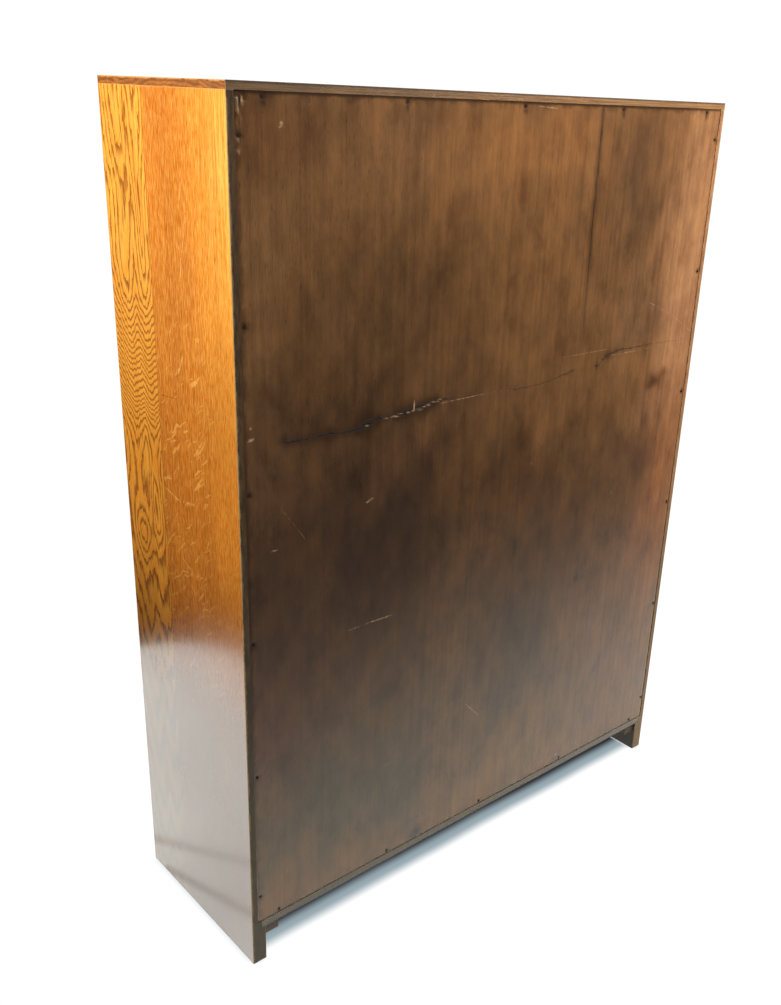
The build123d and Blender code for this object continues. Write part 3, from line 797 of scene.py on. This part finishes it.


# The plywood back: stained face with patches of age and of painted shade, a torn scar, a split seam, chips
# and nail dimples.
backPanel = {
    "spacing": 0.0042,
    "narrowSpacing": 0.0009,
    "flatSpacing": 0.0011,
    "skin": 0.00035,                 # how far the face lies inside the lips
    # where the grid is fine: from and to in x, and in z
    "narrowBands": ((-0.1635, -0.1565), (0.1780, 0.1825), (0.4400, 0.4480)),
    "flatBands": ((0.797, 0.848), (1.196, 1.2092)),
    # split seams: x, top, foot, depth, dirt
    "seams": ((-0.160, 1.2092, 0.80, 0.0009, 1.0), (0.146, 1.2092, 1.085, 0.0003, 0.35)),
    # the torn scars: x, z, half width
    "scars": (
        (
            (0.393, 0.8072, 0.0024), (0.390, 0.8036, 0.0022), (0.352, 0.8030, 0.0016),
            (0.323, 0.8040, 0.0026), (0.302, 0.8008, 0.0014), (0.282, 0.8015, 0.0024),
            (0.266, 0.8050, 0.0064), (0.250, 0.8092, 0.0044), (0.236, 0.8098, 0.0018),
            (0.220, 0.8090, 0.0018), (0.203, 0.8104, 0.0034), (0.181, 0.8134, 0.0040),
            (0.160, 0.8156, 0.0034), (0.143, 0.8184, 0.0030), (0.126, 0.8194, 0.0013),
            (0.110, 0.8176, 0.0006), (0.035, 0.8155, 0.0004), (-0.021, 0.8122, 0.0008),
            (-0.060, 0.8120, 0.0007), (-0.092, 0.8146, 0.0007), (-0.120, 0.8190, 0.0011),
            (-0.147, 0.8234, 0.0013),
        ),
        (
            (-0.198, 0.8230, 0.0006), (-0.203, 0.8234, 0.0024), (-0.209, 0.8250, 0.0007),
            (-0.216, 0.8320, 0.0012), (-0.227, 0.8375, 0.0023), (-0.255, 0.8430, 0.0016),
            (-0.284, 0.8420, 0.0012), (-0.341, 0.8430, 0.0006), (-0.410, 0.8402, 0.0005),
            (-0.449, 0.8410, 0.0003),
        ),
    ),
    # raised splinters: x, foot, top, half width
    "splinters": (
        (0.1803, 0.8115, 0.8305, 0.0011), (0.4462, 1.1870, 1.2070, 0.0013),
        (0.4418, 1.1930, 1.2080, 0.0010), (0.3850, 1.1830, 1.1980, 0.0007),
    ),
    # crumbs of bare wood: x, z
    "crumbs": (
        (0.181, 0.8118), (0.172, 0.8128), (0.163, 0.8146), (0.155, 0.8158), (0.146, 0.8186),
        (0.217, 0.8094), (0.204, 0.8112), (0.262, 0.8040), (0.1905, 0.8108), (0.138, 0.8176),
        (0.131, 0.8204), (0.168, 0.8112), (0.229, 0.8088), (0.211, 0.8088), (0.4470, 1.160),
        (0.4470, 1.146), (0.4475, 1.152),
    ),
    "ground": "9b7046",
    "dullness": 0.3,
    "fineGrain": "3a2412",
    "broadGrain": "452b17",
    "mottlePale": "fff0dc",
    "mottleDark": "33261a",
    "flecks": "2a170b",
    "scratches": "d8b890",
    "cracks": "24150c",
    "dirt": "2b180c",
    "torn": "130d0a",
    "bare": "d9b48a",
    "grime": "2a1b10",
    "fray": "b39468",
    "lining": ("9a5f2c", "c08444"),   # the varnished face toward the shelves
    # patches of age, the large dark and grey ones over the lower half being painted shade: x, z, half
    # width, half height, colour, strength
    "patches": (
        (-0.06, 1.15, 0.22, 0.06, "cc8c52", 0.5),
        (-0.415, 1.05, 0.06, 0.19, "dba170", 0.8),
        (-0.42, 0.80, 0.06, 0.24, "eeb082", 0.8),
        (-0.05, 0.14, 0.20, 0.06, "b08f6a", 0.4),
        (-0.255, 1.09, 0.10, 0.10, "70563f", 0.75),
        (-0.255, 1.16, 0.03, 0.03, "5f4637", 0.35),
        (-0.30, 0.90, 0.07, 0.06, "8d6f58", 0.4),
        (0.425, 0.95, 0.035, 0.13, "b08458", 0.55),
        (0.41, 1.17, 0.05, 0.04, "7c4d2c", 0.5),
        (0.29, 0.85, 0.11, 0.045, "4e3a26", 0.65),
        (0.23, 0.98, 0.11, 0.05, "6d5236", 0.45),
        (0.14, 1.00, 0.10, 0.05, "7a5835", 0.35),
        (-0.06, 0.99, 0.10, 0.05, "a67545", 0.35),
        (0.27, 0.70, 0.20, 0.13, "45322a", 0.62),
        (0.24, 0.62, 0.09, 0.09, "2f2521", 0.62),
        (0.42, 0.56, 0.06, 0.16, "4a3733", 0.55),
        (-0.02, 0.68, 0.17, 0.08, "6a4725", 0.55),
        (-0.32, 0.66, 0.09, 0.05, "5b4230", 0.6),
        (-0.20, 0.57, 0.12, 0.07, "6f4a27", 0.45),
        (-0.41, 0.56, 0.05, 0.14, "a3602f", 0.55),
        (0.40, 0.38, 0.07, 0.08, "80493c", 0.5),
        (0.11, 0.42, 0.06, 0.13, "9c7146", 0.3),
        (-0.06, 0.36, 0.09, 0.11, "4c4238", 0.62),
        (0.30, 0.22, 0.16, 0.10, "4d523f", 0.68),
        (0.16, 0.17, 0.05, 0.06, "454b3f", 0.5),
        (0.43, 0.14, 0.04, 0.05, "8a6a48", 0.4),
        (-0.30, 0.22, 0.13, 0.12, "87614f", 0.35),
        (0.25, 0.50, 0.27, 0.22, "2e1e12", 0.66),
        (-0.12, 0.50, 0.26, 0.15, "3a2615", 0.50),
        (0.10, 0.26, 0.40, 0.13, "5a5138", 0.40),
        (0.24, 0.90, 0.22, 0.12, "5a4127", 0.40),
        (-0.43, 0.58, 0.045, 0.22, "cf8a56", 0.55),
        (0.08, 0.36, 0.06, 0.20, "8d6a45", 0.35),
        (-0.33, 0.30, 0.11, 0.20, "94694c", 0.35),
        (-0.362, 0.777, 0.020, 0.013, "5e361c", 0.85),
        (-0.350, 0.768, 0.010, 0.006, "54301a", 0.6),
        (-0.385, 0.790, 0.009, 0.008, "5e361c", 0.6),
        (0.115, 0.760, 0.018, 0.014, "46301d", 0.55),
        (-0.005, 1.095, 0.010, 0.020, "6d3b1b", 0.5),
        (0.145, 0.086, 0.012, 0.010, "1d191a", 0.9),
        (0.153, 0.078, 0.006, 0.006, "141213", 0.8),
        (-0.204, 0.449, 0.0045, 0.0045, "3d1d12", 0.8),
        (-0.165, 1.06, 0.012, 0.02, "6c4526", 0.35),
    ),
}


def rampNoise(rng, start, end, step):
    # a function that joins random levels between start and end by straight lines
    knots = np.arange(start - step, end + 2 * step, step)
    levels = rng.uniform(-1.0, 1.0, len(knots))
    return lambda t: np.interp(t, knots, levels)


def ripple(rng, x, z, sizes, count=7):
    # a sum of slanting sine waves whose lengths lie about the given sizes
    total = np.zeros(np.broadcast(x, z).shape)
    for _ in range(count):
        kx, kz = (rng.uniform(0.6, 1.4) * rng.choice((-1, 1)) * 2 * math.pi / size for size in sizes)
        total = total + np.sin(kx * x + kz * z + rng.uniform(0, 2 * math.pi))
    return total / math.sqrt(count)


def lineDistance(path, x, z):
    # distance from each point to the broken line, how far along the nearest place lies, and its half width
    best = np.full(x.shape, 1e9)
    reach, wide = np.zeros(x.shape), np.zeros(x.shape)
    walked = 0.0
    for (ax, az, aw), (bx, bz, bw) in zip(path[:-1], path[1:]):
        length = math.hypot(bx - ax, bz - az)
        t = np.clip(((x - ax) * (bx - ax) + (z - az) * (bz - az)) / length ** 2, 0.0, 1.0)
        gap = np.hypot(x - ax - t * (bx - ax), z - az - t * (bz - az))
        nearer = gap < best
        best = np.where(nearer, gap, best)
        reach = np.where(nearer, walked + t * length, reach)
        wide = np.where(nearer, aw + t * (bw - aw), wide)
        walked += length
    return best, reach, wide


def softStep(value, start, end):
    t = np.clip((value - start) / (end - start), 0.0, 1.0)
    return t * t * (3.0 - 2.0 * t)


def gridLines(low, high, coarse, fine, bands):
    # grid lines from low to high, coarse apart but fine apart inside the bands
    marks = [low]
    while marks[-1] < high:
        near = any(a <= marks[-1] <= b for a, b in bands)
        marks.append(marks[-1] + (fine if near else coarse))
    marks = np.array(marks)
    return low + (marks - low) * (high - low) / (marks[-1] - low)


def nailPlaces():
    # the nails stand in columns down the sides and in rows along the top and bottom
    sides = [(side * 0.4452, 0.11875 + 0.209 * k) for side in (-1, 1) for k in range(6)]
    rows = [(x, z) for z in (0.0785, 1.204) for x in (-0.414, -0.207, 0.0, 0.207, 0.414)]
    return sides + rows


def backSurface(values):
    # Each grid point's depth below the rear plane is the sum of the skin, slow waves and the marks.
    low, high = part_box("back_panel")
    rng = np.random.default_rng(41)
    xs = gridLines(low[0], high[0], values["spacing"], values["narrowSpacing"], values["narrowBands"])
    zs = gridLines(low[2], high[2], values["spacing"], values["flatSpacing"], values["flatBands"])
    x, z = np.meshgrid(xs, zs, indexing="ij")
    depth = values["skin"] + 0.00010 * (1.0 + ripple(rng, x, z, (0.35, 0.5)) * 0.4)
    depth += 0.000006 * ripple(rng, x, z, (0.03, 0.3), 20)
    dark, bare, dirt = (np.zeros(x.shape) for _ in range(3))
    # split seams, open toward the top, with dirt rubbed in beside them
    for seamX, top, foot, cut, soil in values["seams"]:
        wobble = rampNoise(rng, foot, top, 0.02)(z) * 0.0004
        opened = softStep(z, foot, top - 0.22)
        groove = np.exp(-((x - seamX - wobble) / 0.0008) ** 2) * opened
        depth += cut * groove
        dark = np.maximum(dark, 0.8 * groove * soil)
        smear = np.exp(-((x - seamX - 0.0008 - wobble) / 0.0036) ** 2) * softStep(z, foot, top - 0.16)
        dirt = np.maximum(dirt, 0.85 * soil * smear * (0.75 + 0.25 * rampNoise(rng, foot, top, 0.012)(z)))
    for path in values["scars"]:
        gap, reach, wide = lineDistance(path, x, z + 0.0005 * ripple(rng, x, z, (0.02, 0.02)))
        ragged = 1.0 + 0.5 * rampNoise(rng, 0.0, 0.8, 0.004)(reach)
        torn = np.exp(-(gap / (wide * np.clip(ragged, 0.4, 1.7))) ** 2)
        crumbled = np.clip(0.75 + 0.5 * ripple(rng, x, z, (0.006, 0.004), 12), 0.15, 1.3)
        depth += np.clip(wide * 0.16 + 0.00015, 0.0, 0.0006) * torn * crumbled
        dark = np.maximum(dark, torn * np.clip(crumbled * 1.2, 0.15, 1.0) * softStep(wide, 0.0001, 0.0010))
        smear = np.exp(-(gap / (wide * 3.6 + 0.001)) ** 2) * softStep(wide, 0.0007, 0.0030)
        dirt = np.maximum(dirt, 0.95 * smear)
    for splinterX, foot, top, wide in values["splinters"]:
        t = (z - foot) / (top - foot)
        taper = softStep(t, -0.02, 0.12) * softStep(t, 1.02, 0.45)
        ridge = np.exp(-((x - splinterX) / (wide * (0.35 + 0.65 * taper))) ** 2) * taper
        depth -= 0.00034 * ridge
        bare = np.maximum(bare, softStep(ridge, 0.25, 0.6))
        dark = dark * (1.0 - softStep(ridge, 0.2, 0.5))
    for crumbX, crumbZ in values["crumbs"]:
        away = np.hypot((x - crumbX) / 0.0032, (z - crumbZ) / 0.0012)
        speck = np.exp(-(away * (1.0 + 0.3 * ripple(rng, x, z, (0.004, 0.003), 5))) ** 2)
        depth -= 0.0002 * speck
        bare = np.maximum(bare, 0.7 * softStep(speck, 0.3, 0.8))
    # each nail is driven a little below the face, and its rust has run down
    for nailX, nailZ in nailPlaces():
        away = np.hypot(x - nailX, z - nailZ)
        depth += 0.0005 * softStep(away, 0.0055, 0.0025)
        run = 0.012 if nailZ > 1.2 else 0.005
        below = np.clip(nailZ - z, 0.0, None) * 0.0045 / run + np.clip(z - nailZ, 0.0, None)
        dirt = np.maximum(dirt, 0.95 * softStep(np.hypot((x - nailX) * 1.1, below), 0.0056, 0.0028))
    # the rim is rounded over and a little crushed
    rim = np.minimum(np.minimum(x - low[0], high[0] - x), z - low[2])
    dirt = np.maximum(dirt, 0.9 * softStep(high[2] - z, 0.0042, 0.0012))
    depth += 0.0005 * softStep(rim, 0.0024, 0.0) * (1.0 + 0.4 * ripple(rng, x, z, (0.02, 0.02)))
    # the corner by the top and the right side has broken down to the core
    corner = np.hypot((x - high[0]) / 0.012, (z - high[2]) / 0.022)
    broken = softStep(corner * (1.0 + 0.3 * ripple(rng, x, z, (0.006, 0.02), 6)), 1.2, 0.8) * (1.0 - bare)
    depth += 0.0009 * broken
    dirt = np.maximum(dirt, 0.6 * broken)
    y = high[1] - np.clip(depth, 0.00003, 0.003)
    return np.stack((x, y, z), axis=-1), {"tornDark": dark, "bareWood": bare, "rubbedDirt": dirt}


def patchTone(values, x, z):
    # the stain's colour with painted shade: the ground, then each patch laid over it as a ragged soft oval
    rng = np.random.default_rng(7)
    swayX = 0.024 * ripple(rng, x, z, (0.16, 0.3)) + 0.010 * ripple(rng, x, z, (0.045, 0.12), 9)
    swayZ = 0.024 * ripple(rng, x, z, (0.14, 0.2)) + 0.010 * ripple(rng, x, z, (0.05, 0.07), 9)
    tone = np.ones(x.shape + (4,)) * shade(values["ground"])
    for patchX, patchZ, wide, tall, code, strength in values["patches"]:
        small = min(1.0, wide / 0.09)
        away = ((x + small * swayX - patchX) / wide) ** 2 + ((z + small * swayZ - patchZ) / tall) ** 2
        share = (strength * np.exp(-0.8 * away))[..., None]
        tone = tone * (1.0 - share) + np.array(shade(code)) * share
    return tone


def buildBack(values):
    points, masks = backSurface(values)
    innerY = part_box("back_panel")[0][1]
    rows, columns = points.shape[:2]
    count = rows * columns
    index = np.arange(count).reshape(rows, columns)
    quads = np.stack((index[:-1, :-1], index[:-1, 1:], index[1:, 1:], index[1:, :-1]), axis=-1)
    # the rim of the face is carried straight through to the inner face, which is one flat polygon
    rim = np.concatenate((index[:-1, 0], index[-1, :-1], index[:0:-1, -1], index[0, :0:-1]))
    inner = points.reshape(-1, 3)[rim].copy()
    inner[:, 1] = innerY
    other = count + np.arange(len(rim))
    skirt = np.stack((rim, np.roll(rim, -1), np.roll(other, -1), other), axis=-1)
    mesh = bpy.data.meshes.new("stained_back_panel")
    mesh.from_pydata(np.concatenate((points.reshape(-1, 3), inner)), [],
                     quads.reshape(-1, 4).tolist() + skirt.tolist() + [other.tolist()])
    tone = np.concatenate((patchTone(values, points[..., 0], points[..., 2]).reshape(-1, 4),
                           patchTone(values, inner[:, 0], inner[:, 2])))
    mesh.attributes.new("stainTone", "FLOAT_COLOR", "POINT").data.foreach_set("color", tone.ravel())
    for name, mask in masks.items():
        spread = np.concatenate((mask.ravel(), np.zeros(len(rim)))).astype(np.float32)
        mesh.attributes.new(name, "FLOAT", "POINT").data.foreach_set("value", spread)
    mesh.update()
    mesh.shade_smooth()
    mesh.set_sharp_from_angle(angle=math.radians(50))
    panel = bpy.data.objects.new("stained_back_panel", mesh)
    scene.collection.objects.link(panel)
    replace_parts(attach(panel, "case"), "back_panel")
    return panel


# pale scratches and knocks: start and end as (x, z), half width, strength
backScratches = (
    ((-0.320, 0.914), (-0.385, 0.888), 0.0009, 0.55), ((-0.385, 0.888), (-0.447, 0.853), 0.0011, 0.75),
    ((0.290, 0.507), (0.250, 0.508), 0.0010, 0.45), ((0.250, 0.508), (0.210, 0.507), 0.0015, 0.65),
    ((0.048, 0.294), (0.015, 0.259), 0.0013, 0.6), ((0.400, 0.719), (0.360, 0.664), 0.0008, 0.4),
    ((0.135, 0.8142), (0.035, 0.8155), 0.0010, 0.75), ((0.035, 0.8155), (-0.020, 0.8118), 0.0008, 0.55),
    ((-0.115, 0.8476), (-0.230, 0.8476), 0.0009, 0.55), ((-0.235, 0.8362), (-0.300, 0.8362), 0.0011, 0.75),
    ((-0.300, 0.8362), (-0.440, 0.8385), 0.0007, 0.45), ((0.390, 1.1725), (0.3905, 1.1790), 0.0026, 0.95),
    ((0.394, 1.1725), (0.387, 1.1728), 0.0016, 0.95), ((0.443, 0.831), (0.439, 0.831), 0.0022, 0.8),
    ((0.446, 0.816), (0.436, 0.8165), 0.0026, 0.85), ((0.262, 0.694), (0.249, 0.699), 0.0024, 0.7),
    ((0.416, 0.662), (0.404, 0.6625), 0.0014, 0.75), ((-0.067, 0.684), (-0.068, 0.687), 0.0018, 0.75),
    ((-0.276, 0.588), (-0.277, 0.596), 0.0014, 0.8), ((-0.382, 0.538), (-0.383, 0.542), 0.0024, 0.75),
    ((-0.197, 0.087), (-0.197, 0.091), 0.0034, 0.7), ((-0.252, 0.090), (-0.253, 0.092), 0.0020, 0.6),
    ((-0.024, 1.2045), (-0.064, 1.2020), 0.0013, 0.8), ((0.4310, 1.1880), (0.4270, 1.1960), 0.0009, 0.5),
    ((0.3515, 1.1970), (0.3525, 1.1975), 0.0014, 0.5), ((-0.0500, 1.0070), (-0.0560, 1.0085), 0.0010, 0.6),
    ((0.230, 0.246), (0.200, 0.2475), 0.0008, 0.4), ((-0.030, 0.2450), (-0.055, 0.2440), 0.0008, 0.4),
    ((-0.290, 0.255), (-0.310, 0.310), 0.0007, 0.3), ((-0.250, 0.300), (-0.300, 0.330), 0.0006, 0.3),
)
# dark cracks and rubbed lines along the grain
backCracks = (
    ((-0.104, 0.975), (-0.1045, 0.905), 0.0010, 0.6), ((-0.112, 0.965), (-0.1125, 0.885), 0.0008, 0.5),
    ((-0.094, 0.960), (-0.0945, 0.920), 0.0007, 0.4), ((0.382, 0.860), (0.3822, 0.806), 0.0009, 0.6),
    ((0.420, 0.812), (0.4203, 0.780), 0.0008, 0.5), ((0.170, 0.113), (0.125, 0.117), 0.0018, 0.4),
    ((0.125, 0.117), (0.085, 0.108), 0.0015, 0.35), ((0.415, 1.195), (0.4152, 1.185), 0.0012, 0.6),
)


def stainedPly(values):
    material, tree, place = startMaterial("stained_plywood")
    low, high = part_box("back_panel")
    x, y, z = splitXyz(place)
    tone = outputs(addNode(tree, "Attribute", attribute_name="stainTone"))["Color"]
    torn, bare, dirt = (outputs(addNode(tree, "Attribute", attribute_name=name))["Fac"]
                        for name in ("tornDark", "bareWood", "rubbedDirt"))
    fine = stretched(place, (0.0009, 0.02, 0.022), 6.0, 0.75)
    broad = stretched(place, (0.008, 0.05, 0.5), 4.0, 0.6)
    mottle = stretched(place, (0.034, 0.05, 0.06), 6.0, 0.62)
    flecks = stretched(place, (0.0016, 0.01, 0.013), 4.0, 0.6)
    fleckZone = ease(cloud(sized(place, (0.1, 0.1, 0.13), shift=(0.35, 0.0, 0.2))), 0.48, 0.64)
    upper = ease(z, 0.82, 0.95) * ease(x, 0.1, 0.3, 0.25, 1.0)
    colour = layOver(tone, values["fineGrain"], ease(fine, 0.32, 0.68, 0.0, 0.3))
    colour = layOver(colour, values["broadGrain"], ease(broad, 0.38, 0.72, 0.0, 0.26))
    for start, end, most, tint in ((0.42, 0.70, 0.40, "mottlePale"), (0.50, 0.24, 0.38, "mottleDark")):
        colour = mixColour(ease(mottle, start, end, 0.0, most), colour, shade(values[tint]), "SOFT_LIGHT")
    scattered = calc("MAXIMUM", fleckZone, upper) * ease(flecks, 0.56, 0.74, 0.0, 0.5)
    colour = layOver(colour, values["flecks"], scattered)
    for marks, tint in ((backScratches, values["scratches"]), (backCracks, values["cracks"])):
        for start, end, width, strength in marks:
            ends = [(spot[0], float(high[1]), spot[1]) for spot in (start, end)]
            mark = placeGroup(scratchMark, Vector=place, Start=ends[0], End=ends[1], Width=width)["Mark"]
            colour = layOver(colour, tint, mark, strength)
    for tint, mask, most in (("dirt", dirt, 0.72), ("torn", torn, 0.92), ("bare", bare, 0.9)):
        colour = layOver(colour, values[tint], calc("MULTIPLY", mask, most, clamp=True))
    wear = placeGroup(edgeWear, Vector=place, Low=tuple(low), High=tuple(high), Width=0.0018, Ragged=1.0)
    colour = layOver(colour, values["grime"], wear["Grime"], ease(x, -0.4, -0.44, 0.5, 0.15))
    fray = wear["Wear"] * ease(z, 0.3, 0.12, 0.0, 0.75)
    colour = layOver(colour, values["fray"], fray)
    inside = ease(y, float(low[1]) + 0.003, float(low[1]) + 0.001)
    lining = mixColour(ease(broad, 0.3, 0.7), *(shade(code) for code in values["lining"]))
    colour = mixColour(inside, colour, lining)
    marks = placeGroup(handlingMarks, Vector=place)
    rough = calc("ADD", values["dullness"], marks["Dulling"] * 0.1 + torn * 0.65, clamp=True)
    relief = fine * -0.8 + marks["Fine"] * 0.15
    finishMaterial(tree, relief, 0.00025, 0.35, Base_Color=colour, Roughness=rough)
    return material


panel = buildBack(backPanel)
panel.data.materials.append(stainedPly(backPanel))
print("back panel built:", len(panel.data.polygons), "faces")
